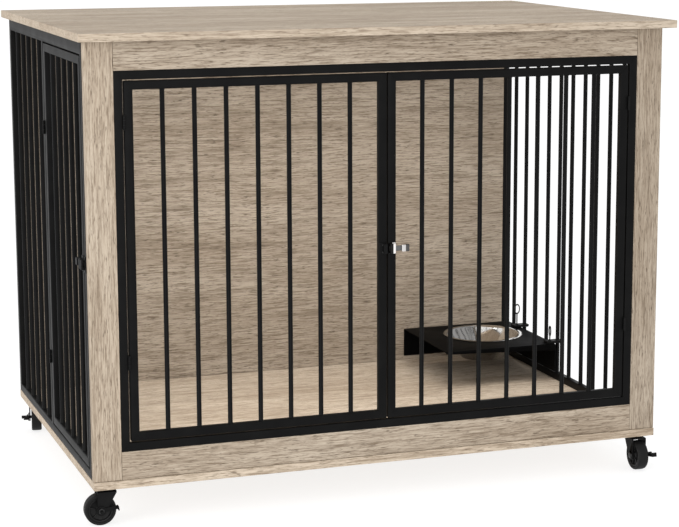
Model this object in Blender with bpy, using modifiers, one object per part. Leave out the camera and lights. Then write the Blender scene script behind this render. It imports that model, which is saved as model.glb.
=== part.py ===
"""Furniture dog crate: wooden boards, barred steel doors and panels, a feeder and four casters.

Metres, +Z up. The origin is on the floor under the middle of the tabletop. The front faces -Y.
"""

import math

import bmesh
import bpy
from mathutils import Matrix, Vector

# Overall sizes
TOP_WIDTH = 1.110
TOP_DEPTH = 0.756
CAGE_HEIGHT = 0.7625
SIDE_OVERHANG = 0.01375
FRONT_OVERHANG = 0.031
REAR_OVERHANG = 0.009

# Boards
TOP_THICKNESS = 0.014
BASE_THICKNESS = 0.0145
BASE_LIP = 0.0025
BOARD_THICKNESS = 0.014
STILE_WIDTH = 0.0505
TOP_RAIL_HEIGHT = 0.051
BOTTOM_RAIL_HEIGHT = 0.050
BOARD_EDGE_RADIUS = 0.0008

# Steel tubes and bars
TUBE_WIDTH = 0.015
TUBE_DEPTH = 0.012
TUBE_EDGE_RADIUS = 0.0012
SIDE_TOP_TUBE_WIDTH = 0.024
BAR_DIAMETER = 0.0084
LEFT_BAR_DIAMETER = 0.0094
BAR_SIDES = 12
FRONT_DOOR_BARS = 7
SIDE_DOOR_BARS = 5
SIDE_FIXED_BARS = 5
RIGHT_PANEL_BARS = 11
SIDE_DOOR_WIDTH = 0.327

# Clearances
TOUCH = 0.0003
DOOR_GAP = 0.0024
PIN_CLEARANCE = 0.0002

# Hinges
HINGE_HEIGHT = 0.025
HINGE_KNUCKLE_RADIUS = 0.0022
HINGE_PIN_RADIUS = 0.0010
HINGE_LEAF_THICKNESS = 0.0006
HINGE_LEAF_DEPTH = 0.010
HINGE_END_DISTANCE = 0.070
SIDE_HINGE_END_DISTANCE = 0.155

# Slide latches
LATCH_CENTRE_HEIGHT = 0.380
LATCH_PLATE_THICKNESS = 0.0012
LATCH_BODY_DEPTH = 0.0075
BOLT_HEIGHT = 0.009
BOLT_THICKNESS = 0.0026
BOLT_TRAVEL = 0.0085
BOLT_CLEARANCE = 0.0005
KNOB_LENGTH = 0.015
KNOB_GAP = 0.0005
FRONT_LATCH_HEIGHT = 0.020
SIDE_LATCH_HEIGHT = 0.027

# Feeder
FEEDER_WIDTH = 0.246
FEEDER_LENGTH = 0.248
FEEDER_HEIGHT = 0.080
FEEDER_SHEET = 0.002
FEEDER_FLANGE = 0.060
FEEDER_APRON_TALL = 0.014
FEEDER_APRON_SHORT = 0.004
FEEDER_WALL_GAP = 0.0045
FEEDER_REAR_GAP = 0.047
BOWL_RIM_RADIUS = 0.084
BOWL_RIM_WIDTH = 0.007
BOWL_DEPTH = 0.050
BOWL_FOOT_RADIUS = 0.048
BOWL_WALL = 0.0012
BOWL_CLEARANCE = 0.0015
BOWL_FROM_RIGHT_EDGE = 0.106
BOWL_FROM_REAR_EDGE = 0.106
CLAMP_HEIGHT = 0.008
CLAMP_LENGTH = 0.024
CLAMP_BARS = (7, 10)
CLAMP_SCREW_OFFSET = 0.008
CLAMP_SCREW_INSET = 0.0275
SCREW_RADIUS = 0.0015
SCREW_RING_RADIUS = 0.0085
SCREW_RING_WIRE = 0.0013
SCREW_STEM = 0.022
SCREW_SHORT_STEM = 0.008

# Casters
CASTER_HEIGHT = 0.068
CASTER_SIDE_INSET = 0.0255
CASTER_FRONT_INSET = 0.0265
CASTER_REAR_INSET = 0.034
CASTER_PLATE = 0.038
CASTER_PLATE_THICKNESS = 0.002
CASTER_NECK_RADIUS = 0.011
CASTER_NECK_HEIGHT = 0.003
CASTER_TRAIL = 0.0108
WHEEL_RADIUS = 0.028
WHEEL_WIDTH = 0.021
FORK_SHEET = 0.0025
FORK_SIDE_GAP = 0.0015
FORK_TOP_LENGTH = 0.034
FORK_NOSE_TAPER = 0.009
FORK_NOSE_DEPTH = 0.0165
FORK_TAIL_DEPTH = 0.014
FORK_BOSS_RADIUS = 0.0085
AXLE_RADIUS = 0.0030
AXLE_HEAD_RADIUS = 0.0055
AXLE_HEAD_HEIGHT = 0.0025
AXLE_CLEARANCE = 0.00008
PEDAL_SHEET = 0.0018
PEDAL_RING_RADIUS = 0.0085
PEDAL_REACH = 0.030
PEDAL_ARM_HEIGHT = 0.007
PEDAL_TAB_WIDTH = 0.011
PEDAL_RISE = 0.0055
CASTER_TRAIL_DEGREES = {
    "front_left": 178.0,
    "front_right": 270.0,
    "rear_left": 80.0,
    "rear_right": 94.0,
}
PEDALS_ON_WHEEL_SIDE = ("front_right",)

# Places worked out from the sizes above
BODY_WIDTH = TOP_WIDTH - 2 * SIDE_OVERHANG
HALF_WIDTH = BODY_WIDTH / 2
FRONT_Y = -TOP_DEPTH / 2 + FRONT_OVERHANG
REAR_Y = TOP_DEPTH / 2 - REAR_OVERHANG
FLOOR_Z = CASTER_HEIGHT + BASE_THICKNESS
CEILING_Z = FLOOR_Z + CAGE_HEIGHT
LATCH_Z = FLOOR_Z + LATCH_CENTRE_HEIGHT
SIDE_START_Y = FRONT_Y + BOARD_THICKNESS + TOUCH

WOOD = ((0.47, 0.41, 0.335, 1.0), 0.6, 0.0)
BLACK_STEEL = ((0.018, 0.018, 0.019, 1.0), 0.42, 0.0)
CHROME = ((0.72, 0.71, 0.70, 1.0), 0.18, 1.0)
STAINLESS = ((0.62, 0.61, 0.59, 1.0), 0.2, 1.0)
BLACK_PLASTIC = ((0.025, 0.025, 0.026, 1.0), 0.5, 0.0)
RUBBER = ((0.03, 0.03, 0.031, 1.0), 0.75, 0.0)


# ---------------------------------------------------------------- helpers


def clear_scene():
    for obj in list(bpy.data.objects):
        bpy.data.objects.remove(obj, do_unlink=True)


def new_collection(name):
    collection = bpy.data.collections.new(name)
    bpy.context.scene.collection.children.link(collection)
    return collection


def move_to(obj, collection):
    for old in list(obj.users_collection):
        old.objects.unlink(obj)
    collection.objects.link(obj)


def finish(obj, name, look):
    """Names the object and its mesh and gives it a material of its own."""
    obj.name = name
    obj.data.name = name
    colour, roughness, metallic = look
    material = bpy.data.materials.new(name)
    material.use_nodes = True
    shader = material.node_tree.nodes["Principled BSDF"]
    shader.inputs["Base Color"].default_value = colour
    shader.inputs["Roughness"].default_value = roughness
    shader.inputs["Metallic"].default_value = metallic
    material.diffuse_color = colour
    obj.data.materials.clear()
    obj.data.materials.append(material)
    move_to(obj, CRATE)
    return obj


def box(low, high):
    """A cuboid between two corners, with its place in its mesh."""
    low, high = Vector(low), Vector(high)
    bpy.ops.mesh.primitive_cube_add(size=1)
    obj = bpy.context.object
    size = high - low
    obj.data.transform(Matrix.Translation((low + high) / 2) @ Matrix.Diagonal((*size, 1)))
    return obj


def rod(start, end, radius, sides=24):
    """A cylinder from start to end, with its place in its mesh."""
    start, end = Vector(start), Vector(end)
    along = end - start
    bpy.ops.mesh.primitive_cylinder_add(vertices=sides, radius=radius, depth=along.length)
    obj = bpy.context.object
    turn = Vector((0, 0, 1)).rotation_difference(along).to_matrix().to_4x4()
    obj.data.transform(Matrix.Translation((start + end) / 2) @ turn)
    return obj


def bake(obj):
    """Replaces the object's data by what its modifiers make of it, as a mesh with welded caps."""
    graph = bpy.context.evaluated_depsgraph_get()
    mesh = bpy.data.meshes.new_from_object(obj.evaluated_get(graph))
    shape = bmesh.new()
    shape.from_mesh(mesh)
    bmesh.ops.remove_doubles(shape, verts=shape.verts, dist=1e-6)
    shape.to_mesh(mesh)
    shape.free()
    if obj.type == "MESH":
        obj.modifiers.clear()
        obj.data = mesh
        return obj
    solid = bpy.data.objects.new(obj.name, mesh)
    solid.matrix_world = obj.matrix_world
    bpy.context.scene.collection.objects.link(solid)
    bpy.data.objects.remove(obj)
    return solid


def combine(obj, others, operation):
    """Unites the others with the object, or cuts them from it."""
    for number, other in enumerate(others):
        modifier = obj.modifiers.new(f"{operation} {number}", "BOOLEAN")
        modifier.operation = operation
        modifier.solver = "EXACT"
        modifier.object = other
    bake(obj)
    for other in others:
        bpy.data.objects.remove(other)
    return obj


def unite(obj, *others):
    return combine(obj, others, "UNION")


def cut(obj, *others):
    return combine(obj, others, "DIFFERENCE")


def round_edges(obj, radius, segments=2, degrees=40):
    modifier = obj.modifiers.new("rounded edges", "BEVEL")
    modifier.width = radius
    modifier.segments = segments
    modifier.limit_method = "ANGLE"
    modifier.angle_limit = math.radians(degrees)
    return bake(obj)


def smooth(obj, degrees=35):
    obj.data.shade_smooth()
    obj.data.set_sharp_from_angle(angle=math.radians(degrees))
    return obj


def turned(profile, steps):
    """A solid of revolution about Z, from (radius, height) points down its outer side and back inside."""
    mesh = bpy.data.meshes.new("profile")
    points = [(radius, 0.0, height) for radius, height in profile]
    edges = [(i, (i + 1) % len(points)) for i in range(len(points))]
    mesh.from_pydata(points, edges, [])
    obj = bpy.data.objects.new("profile", mesh)
    bpy.context.scene.collection.objects.link(obj)
    modifier = obj.modifiers.new("turned", "SCREW")
    modifier.angle = 2 * math.pi
    modifier.steps = steps
    modifier.render_steps = steps
    modifier.use_merge_vertices = True
    modifier.merge_threshold = 0.00001
    return bake(obj)


def plate_outline(points, thickness):
    """A flat plate in XY of the given outline, centred on z = 0."""
    data = bpy.data.curves.new("outline", "CURVE")
    data.dimensions = "2D"
    data.fill_mode = "BOTH"
    data.extrude = thickness / 2
    spline = data.splines.new("POLY")
    spline.points.add(len(points) - 1)
    for point, (x, y) in zip(spline.points, points):
        point.co = (x, y, 0, 1)
    spline.use_cyclic_u = True
    obj = bpy.data.objects.new("outline", data)
    bpy.context.scene.collection.objects.link(obj)
    return bake(obj)


def arc(centre, radius, first, last, steps):
    """Points on an arc, from one angle in degrees to another."""
    found = []
    for step in range(steps + 1):
        angle = math.radians(first + (last - first) * step / steps)
        found.append((centre[0] + radius * math.cos(angle), centre[1] + radius * math.sin(angle)))
    return found


def joint_empty(name, place, degrees=0.0, parent=None):
    """An empty on a joint's axis."""
    empty = bpy.data.objects.new(name, None)
    empty.empty_display_size = 0.02
    empty.parent = parent
    empty.location = place
    empty.rotation_euler = (0, 0, math.radians(degrees))
    CRATE.objects.link(empty)
    bpy.context.view_layer.update()
    return empty


def hang(obj, empty):
    """Parents a piece to a joint's empty and leaves it where it is."""
    obj.parent = empty
    obj.matrix_parent_inverse = empty.matrix_world.inverted()
    return obj


def carry(obj, empty):
    """Parents a piece modelled in the empty's own frame."""
    obj.parent = empty
    return obj


def bar_places(start, end, count, diameter=BAR_DIAMETER):
    """Bar centres that leave equal clear gaps between start and end."""
    clear = (end - start - count * diameter) / (count + 1)
    return [start + clear + diameter / 2 + i * (clear + diameter) for i in range(count)]


# ---------------------------------------------------------------- boards


def board(name, low, high):
    return finish(smooth(round_edges(box(low, high), BOARD_EDGE_RADIUS)), name, WOOD)


def make_boards():
    half_top = TOP_WIDTH / 2
    board(
        "tabletop",
        (-half_top, -TOP_DEPTH / 2, CEILING_Z),
        (half_top, TOP_DEPTH / 2, CEILING_Z + TOP_THICKNESS),
    )
    board(
        "bottom_board",
        (-HALF_WIDTH, FRONT_Y - BASE_LIP, CASTER_HEIGHT),
        (HALF_WIDTH, REAR_Y + BASE_LIP, FLOOR_Z),
    )
    low_z = FLOOR_Z + TOUCH
    high_z = CEILING_Z - TOUCH
    front = FRONT_Y
    back = FRONT_Y + BOARD_THICKNESS
    inner = HALF_WIDTH - STILE_WIDTH
    board("front_left_stile", (-HALF_WIDTH, front, low_z), (-inner, back, high_z))
    board("front_right_stile", (inner, front, low_z), (HALF_WIDTH, back, high_z))
    rail_end = inner - TOUCH
    board(
        "front_top_rail",
        (-rail_end, front, CEILING_Z - TOP_RAIL_HEIGHT),
        (rail_end, back, high_z),
    )
    board(
        "front_bottom_rail",
        (-rail_end, front, low_z),
        (rail_end, back, FLOOR_Z + BOTTOM_RAIL_HEIGHT),
    )
    panel_end = HALF_WIDTH - TUBE_DEPTH - TOUCH
    board(
        "back_panel",
        (-panel_end, REAR_Y - BOARD_THICKNESS, low_z),
        (panel_end, REAR_Y, high_z),
    )


# ---------------------------------------------------------------- steel frames, panels and doors


def frame_in_y(low, high, width):
    """A rectangular tube frame that faces -Y. low and high are (x, z); width is the tube's."""
    y_low, y_high = FRONT_Y, FRONT_Y + TUBE_DEPTH
    ring = box((low[0], y_low, low[1]), (high[0], y_high, high[1]))
    hole = box(
        (low[0] + width, y_low - width, low[1] + width),
        (high[0] - width, y_high + width, high[1] - width),
    )
    return round_edges(cut(ring, hole), TUBE_EDGE_RADIUS)


def upright_bars(obj, places, low_z, high_z, diameter=BAR_DIAMETER):
    """Unites upright bars with a frame. They run from inside its lower tube to inside its upper one."""
    bars = []
    for x, y in places:
        bars.append(rod((x, y, low_z - TUBE_WIDTH / 3), (x, y, high_z + TUBE_WIDTH / 3), diameter / 2, BAR_SIDES))
    return unite(obj, *bars)


def front_opening():
    """(x, z) of the lower left and upper right corners of the wooden opening."""
    inner = HALF_WIDTH - STILE_WIDTH
    return (-inner, FLOOR_Z + BOTTOM_RAIL_HEIGHT), (inner, CEILING_Z - TOP_RAIL_HEIGHT)


def make_front():
    low, high = front_opening()
    ring_low = (low[0] + TOUCH, low[1] + TOUCH)
    ring_high = (high[0] - TOUCH, high[1] - TOUCH)
    finish(smooth(frame_in_y(ring_low, ring_high, TUBE_WIDTH)), "front_steel_frame", BLACK_STEEL)
    door_low_z = ring_low[1] + TUBE_WIDTH + DOOR_GAP
    door_high_z = ring_high[1] - TUBE_WIDTH - DOOR_GAP
    outer = ring_high[0] - TUBE_WIDTH - DOOR_GAP
    inner = DOOR_GAP / 2
    bar_y = FRONT_Y + TUBE_DEPTH / 2
    for side, x_low, x_high in (("left", -outer, -inner), ("right", inner, outer)):
        door = frame_in_y((x_low, door_low_z), (x_high, door_high_z), TUBE_WIDTH)
        bars = bar_places(x_low + TUBE_WIDTH, x_high - TUBE_WIDTH, FRONT_DOOR_BARS)
        places = [(x, bar_y) for x in bars]
        upright_bars(door, places, door_low_z + TUBE_WIDTH, door_high_z - TUBE_WIDTH)
        finish(smooth(door), f"front_{side}_door", BLACK_STEEL)
        sign = -1 if side == "left" else 1
        axis_x = sign * (outer + DOOR_GAP / 2)
        axis = (axis_x, FRONT_Y - TOUCH - HINGE_KNUCKLE_RADIUS, 0)
        swing = joint_empty(f"front_{side}_door_axis", (*axis[:2], door_low_z))
        hang(door, swing)
        heights = (door_low_z + HINGE_END_DISTANCE * 2, door_high_z - HINGE_END_DISTANCE)
        for place, z in zip(("lower", "upper"), heights):
            make_hinge(f"front_{side}_{place}_hinge", (*axis[:2], z), (sign, 0), (0, 1), swing)
        if side == "left":
            left_swing = swing
        else:
            right_swing = swing
    make_latch("front_latch", (0, FRONT_Y, LATCH_Z), 0, 1, FRONT_LATCH_HEIGHT, left_swing, right_swing, CHROME)


def side_frame(side, windows, low_y, high_y):
    """A tube frame in a side of the cage, with a window for each (y, y) pair."""
    sign = -1 if side == "left" else 1
    outer = sign * HALF_WIDTH
    inner = sign * (HALF_WIDTH - TUBE_DEPTH)
    low_z = FLOOR_Z + TOUCH
    high_z = CEILING_Z - TOUCH
    ring = box((min(outer, inner), low_y, low_z), (max(outer, inner), high_y, high_z))
    holes = []
    for start, end in windows:
        reach = HALF_WIDTH + TUBE_DEPTH
        x_low, x_high = sorted((sign * (HALF_WIDTH - 2 * TUBE_DEPTH), sign * reach))
        holes.append(box((x_low, start, low_z + TUBE_WIDTH), (x_high, end, high_z - SIDE_TOP_TUBE_WIDTH)))
    return round_edges(cut(ring, *holes), TUBE_EDGE_RADIUS)


def make_left_side():
    low_z = FLOOR_Z + TOUCH + TUBE_WIDTH
    high_z = CEILING_Z - TOUCH - SIDE_TOP_TUBE_WIDTH
    door_start = SIDE_START_Y + TUBE_WIDTH + DOOR_GAP
    door_end = door_start + SIDE_DOOR_WIDTH
    opening_end = door_end + DOOR_GAP
    window_start = opening_end + TUBE_WIDTH
    window_end = REAR_Y - TUBE_WIDTH
    windows = ((SIDE_START_Y + TUBE_WIDTH, opening_end), (window_start, window_end))
    bar_x = -HALF_WIDTH + TUBE_DEPTH / 2
    frame = side_frame("left", windows, SIDE_START_Y, REAR_Y)
    bars = bar_places(window_start, window_end, SIDE_FIXED_BARS, LEFT_BAR_DIAMETER)
    places = [(bar_x, y) for y in bars]
    upright_bars(frame, places, low_z, high_z, LEFT_BAR_DIAMETER)
    finish(smooth(frame), "left_side_frame", BLACK_STEEL)

    door_low, door_high = low_z + DOOR_GAP, high_z - DOOR_GAP
    door = box((-HALF_WIDTH, door_start, door_low), (-HALF_WIDTH + TUBE_DEPTH, door_end, door_high))
    hole = box(
        (-HALF_WIDTH - TUBE_WIDTH, door_start + TUBE_WIDTH, door_low + TUBE_WIDTH),
        (-HALF_WIDTH + 2 * TUBE_WIDTH, door_end - TUBE_WIDTH, door_high - TUBE_WIDTH),
    )
    round_edges(cut(door, hole), TUBE_EDGE_RADIUS)
    bars = bar_places(door_start + TUBE_WIDTH, door_end - TUBE_WIDTH, SIDE_DOOR_BARS, LEFT_BAR_DIAMETER)
    places = [(bar_x, y) for y in bars]
    upright_bars(door, places, door_low + TUBE_WIDTH, door_high - TUBE_WIDTH, LEFT_BAR_DIAMETER)
    finish(smooth(door), "left_side_door", BLACK_STEEL)
    axis = (-HALF_WIDTH - TOUCH - HINGE_KNUCKLE_RADIUS, door_end + DOOR_GAP / 2)
    swing = joint_empty("left_side_door_axis", (*axis, door_low))
    hang(door, swing)
    heights = (door_low + SIDE_HINGE_END_DISTANCE - HINGE_HEIGHT, door_high - SIDE_HINGE_END_DISTANCE)
    for place, z in zip(("lower", "upper"), heights):
        make_hinge(f"side_{place}_hinge", (*axis, z), (0, 1), (1, 0), swing)
    latch_y = door_start - DOOR_GAP / 2
    make_latch("side_latch", (-HALF_WIDTH, latch_y, LATCH_Z), -90, -1, SIDE_LATCH_HEIGHT, None, swing, BLACK_STEEL)


def right_bars():
    window = (SIDE_START_Y + TUBE_WIDTH, REAR_Y - TUBE_WIDTH)
    return bar_places(*window, RIGHT_PANEL_BARS)


def make_right_side():
    windows = ((SIDE_START_Y + TUBE_WIDTH, REAR_Y - TUBE_WIDTH),)
    frame = side_frame("right", windows, SIDE_START_Y, REAR_Y)
    bar_x = HALF_WIDTH - TUBE_DEPTH / 2
    places = [(bar_x, y) for y in right_bars()]
    low_z = FLOOR_Z + TOUCH + TUBE_WIDTH
    high_z = CEILING_Z - TOUCH - SIDE_TOP_TUBE_WIDTH
    upright_bars(frame, places, low_z, high_z)
    finish(smooth(frame), "right_side_panel", BLACK_STEEL)


# ---------------------------------------------------------------- hinges and latches


def make_hinge(name, centre, frame_way, inward, swing):
    """A butt hinge in a door gap. frame_way points from the axis to the fixed tube, inward into the gap."""
    centre = Vector(centre)
    frame_way = Vector((*frame_way, 0))
    inward = Vector((*inward, 0))
    up = Vector((0, 0, HINGE_HEIGHT / 2))
    third = Vector((0, 0, HINGE_HEIGHT / 6))
    slack = Vector((0, 0, PIN_CLEARANCE))
    face = inward * (HINGE_KNUCKLE_RADIUS + TOUCH)

    def leaf(way):
        """The flat part between the two tubes, on one side of the gap."""
        near = way * (DOOR_GAP / 2 - TOUCH - HINGE_LEAF_THICKNESS) + face + inward * TOUCH
        far = way * (DOOR_GAP / 2 - TOUCH) + face + inward * (TOUCH + HINGE_LEAF_DEPTH)
        return solid_between(centre + near - up, centre + far + up)

    def tongue(way, low, high):
        """Joins a knuckle to its leaf."""
        near = way * (DOOR_GAP / 2 - TOUCH - HINGE_LEAF_THICKNESS) + inward * (HINGE_KNUCKLE_RADIUS * 0.6)
        far = way * (DOOR_GAP / 2 - TOUCH) + face + inward * (2 * TOUCH)
        return solid_between(centre + near + low, centre + far + high)

    fixed = leaf(frame_way)
    pieces = [rod(centre - up, centre + up, HINGE_PIN_RADIUS, 8)]
    for low, high in ((-up, -third - slack), (third + slack, up)):
        pieces.append(rod(centre + low, centre + high, HINGE_KNUCKLE_RADIUS, 12))
        pieces.append(tongue(frame_way, low, high))
    unite(fixed, *pieces)
    finish(smooth(fixed), f"{name}_frame_leaf", BLACK_STEEL)

    moving = leaf(-frame_way)
    knuckle = rod(centre - third + slack, centre + third - slack, HINGE_KNUCKLE_RADIUS, 12)
    unite(moving, knuckle, tongue(-frame_way, -third + slack, third - slack))
    cut(moving, rod(centre - up, centre + up, HINGE_PIN_RADIUS + PIN_CLEARANCE, 8))
    finish(smooth(moving), f"{name}_door_leaf", BLACK_STEEL)
    hang(moving, swing)


def solid_between(one, other):
    low = Vector(map(min, one, other))
    high = Vector(map(max, one, other))
    return box(low, high)


def make_latch(name, centre, degrees, hand, height, keeper_axis, door_axis, bolt_look):
    """A slide bolt beside a door gap, drawn back. In its own frame it faces -Y and opens to hand * X."""
    place = Matrix.Translation(centre) @ Matrix.Rotation(math.radians(degrees), 4, "Z")
    half_gap = DOOR_GAP / 2
    edge = half_gap + 0.0008
    plate_end = half_gap + TUBE_WIDTH - 0.0006
    back = -TOUCH
    plate_front = back - LATCH_PLATE_THICKNESS
    front = back - LATCH_BODY_DEPTH
    bolt_back = plate_front - BOLT_CLEARANCE
    bolt_front = bolt_back - BOLT_THICKNESS
    slot_half = BOLT_HEIGHT / 2 + BOLT_CLEARANCE
    bridge_half = BOLT_HEIGHT / 2 + 0.0045

    def piece(x_low, x_high, y_low, y_high, z_half):
        xs = sorted((hand * x_low, hand * x_high))
        return box((xs[0], y_low, -z_half), (xs[1], y_high, z_half))

    def guide(x_near, x_far, bridge_near, bridge_far, part, look):
        """A screwed-on plate with a bridge over the bolt."""
        plate = piece(x_near, x_far, plate_front, back, height / 2)
        bridge = piece(bridge_near, bridge_far, front, plate_front + 0.0003, bridge_half)
        round_edges(bridge, 0.0012)
        unite(plate, bridge)
        cut(plate, piece(x_near - 0.01, x_far + 0.01, bolt_front - BOLT_CLEARANCE, plate_front, slot_half))
        plate.data.transform(place)
        return finish(smooth(plate), f"{name}_{part}", look)

    keeper = guide(-plate_end, -edge, -edge - 0.007, -edge, "keeper", BLACK_STEEL)
    barrel = guide(edge, plate_end, edge + 0.001, plate_end - 0.002, "barrel", bolt_look)
    shank_end = plate_end + BOLT_TRAVEL + KNOB_GAP
    bolt = piece(edge + 0.0003, shank_end + 0.002, bolt_front, bolt_back, BOLT_HEIGHT / 2)
    knob = piece(shank_end, shank_end + KNOB_LENGTH, bolt_front - 0.0035, bolt_back, BOLT_HEIGHT / 2 + 0.002)
    round_edges(knob, 0.0015)
    unite(bolt, knob)
    bolt.data.transform(place)
    finish(smooth(bolt), f"{name}_bolt", bolt_look)
    if keeper_axis:
        hang(keeper, keeper_axis)
    hang(barrel, door_axis)
    hang(bolt, door_axis)


# ---------------------------------------------------------------- feeder


def feeder_edges():
    """The tray's right edge x, rear edge y and top z."""
    right = HALF_WIDTH - TUBE_DEPTH - FEEDER_WALL_GAP
    rear = REAR_Y - BOARD_THICKNESS - FEEDER_REAR_GAP
    return right, rear, FLOOR_Z + FEEDER_HEIGHT


def make_feeder():
    right, rear, top = feeder_edges()
    left = right - FEEDER_WIDTH
    front = rear - FEEDER_LENGTH
    slide = joint_empty("feeder_height_axis", (right, rear, top))
    bottom = top - FEEDER_FLANGE
    tray = box((left, front, bottom), (right, rear, top))
    beyond = 0.01
    under = box(
        (left - beyond, front + FEEDER_SHEET, bottom - beyond),
        (right - FEEDER_SHEET, rear - FEEDER_SHEET, top - FEEDER_SHEET),
    )
    below_apron = box(
        (left - beyond, front - beyond, bottom - beyond),
        (right - FEEDER_SHEET, front + FEEDER_SHEET + TOUCH, top - FEEDER_APRON_TALL),
    )
    for vertex in below_apron.data.vertices:
        if vertex.co.x < left and vertex.co.z > bottom:
            vertex.co.z = top - FEEDER_APRON_SHORT
    cut(tray, under)
    cut(tray, below_apron)
    bowl_x = right - BOWL_FROM_RIGHT_EDGE
    bowl_y = rear - BOWL_FROM_REAR_EDGE
    seat_radius = BOWL_RIM_RADIUS - BOWL_RIM_WIDTH
    hole = rod((bowl_x, bowl_y, top - 0.01), (bowl_x, bowl_y, top + 0.01), seat_radius, 36)
    clamp_x = HALF_WIDTH - CLAMP_SCREW_INSET
    bars = right_bars()
    screw_places = [(clamp_x, bars[number - 1] - CLAMP_SCREW_OFFSET) for number in CLAMP_BARS]
    screw_holes = []
    for x, y in screw_places:
        screw_holes.append(rod((x, y, top - 0.01), (x, y, top + 0.01), SCREW_RADIUS + PIN_CLEARANCE, 12))
    cut(tray, hole, *screw_holes)
    finish(smooth(tray), "feeder_tray", BLACK_STEEL)
    hang(tray, slide)

    bowl = turned(bowl_profile(seat_radius - BOWL_CLEARANCE), 36)
    bowl.data.transform(Matrix.Translation((bowl_x, bowl_y, top + TOUCH)))
    finish(smooth(bowl, 50), "feeder_bowl", STAINLESS)
    lift = joint_empty("feeder_bowl_axis", (bowl_x, bowl_y, top), parent=None)
    hang(lift, slide)
    hang(bowl, lift)

    bar_x = HALF_WIDTH - TUBE_DEPTH / 2
    stems = (SCREW_SHORT_STEM, SCREW_STEM)
    turns = (80.0, 10.0)
    for number, (x, y) in enumerate(screw_places):
        label = ("front", "rear")[number]
        low = top + TOUCH
        high = low + CLAMP_HEIGHT
        start = y - CLAMP_LENGTH / 3
        end = start + CLAMP_LENGTH
        clamp = box((x - CLAMP_SCREW_OFFSET, start, low), (bar_x + BAR_DIAMETER / 2 + 0.002, end, high))
        round_edges(clamp, 0.001)
        bar_hole = rod(
            (bar_x, y + CLAMP_SCREW_OFFSET, low - 0.01),
            (bar_x, y + CLAMP_SCREW_OFFSET, high + 0.01),
            BAR_DIAMETER / 2 + TOUCH,
            16,
        )
        screw_hole = rod((x, y, low - 0.01), (x, y, high + 0.01), SCREW_RADIUS + PIN_CLEARANCE, 12)
        cut(clamp, bar_hole, screw_hole)
        finish(smooth(clamp), f"feeder_{label}_clamp", BLACK_STEEL)
        hang(clamp, slide)
        axis = joint_empty(f"feeder_{label}_screw_axis", (x, y, high))
        hang(axis, slide)
        screw = clamp_screw(stems[number], CLAMP_HEIGHT + FEEDER_SHEET + 0.004)
        screw.data.transform(Matrix.Translation((x, y, high)) @ Matrix.Rotation(math.radians(turns[number]), 4, "Z"))
        finish(smooth(screw), f"feeder_{label}_screw", CHROME)
        hang(screw, axis)


def bowl_profile(wall_radius):
    """(radius, height) points of the bowl's section, from its rim down the outside and up the inside."""
    rim = BOWL_RIM_RADIUS
    foot = BOWL_FOOT_RADIUS
    depth = BOWL_DEPTH
    thick = BOWL_WALL
    outside = [(rim, thick), (rim, 0.0), (wall_radius + 0.001, 0.0)]
    inside = []
    steps = 6
    for step in range(steps + 1):
        angle = math.pi / 2 * step / steps
        radius = foot + (wall_radius - foot) * math.cos(angle)
        height = -depth * math.sin(angle)
        if step:
            outside.append((radius, height))
        inside.append((radius - thick * math.cos(angle) - thick * 0.2, height + thick))
    outside.append((0.0, -depth))
    centre = [(0.0, -depth + thick)]
    return outside + centre + inside[::-1]


def clamp_screw(stem, below):
    """A screw about Z with a wire ring on top. z = 0 is the top of the clamp."""
    shaft = rod((0, 0, -below), (0, 0, stem + 0.001), SCREW_RADIUS, 10)
    collar = rod((0, 0, TOUCH), (0, 0, 0.003), SCREW_RADIUS * 2.2, 12)
    bpy.ops.mesh.primitive_torus_add(
        major_radius=SCREW_RING_RADIUS,
        minor_radius=SCREW_RING_WIRE,
        major_segments=16,
        minor_segments=6,
        rotation=(math.pi / 2, 0, 0),
    )
    ring = bpy.context.object
    oval = Matrix.Diagonal((0.75, 1, 1.15, 1)) @ Matrix.Rotation(math.pi / 2, 4, "X")
    ring.matrix_world = Matrix.Identity(4)
    ring.data.transform(Matrix.Translation((0, 0, stem + SCREW_RING_RADIUS * 1.15)) @ oval)
    return unite(shaft, collar, ring)


# ---------------------------------------------------------------- casters


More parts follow.
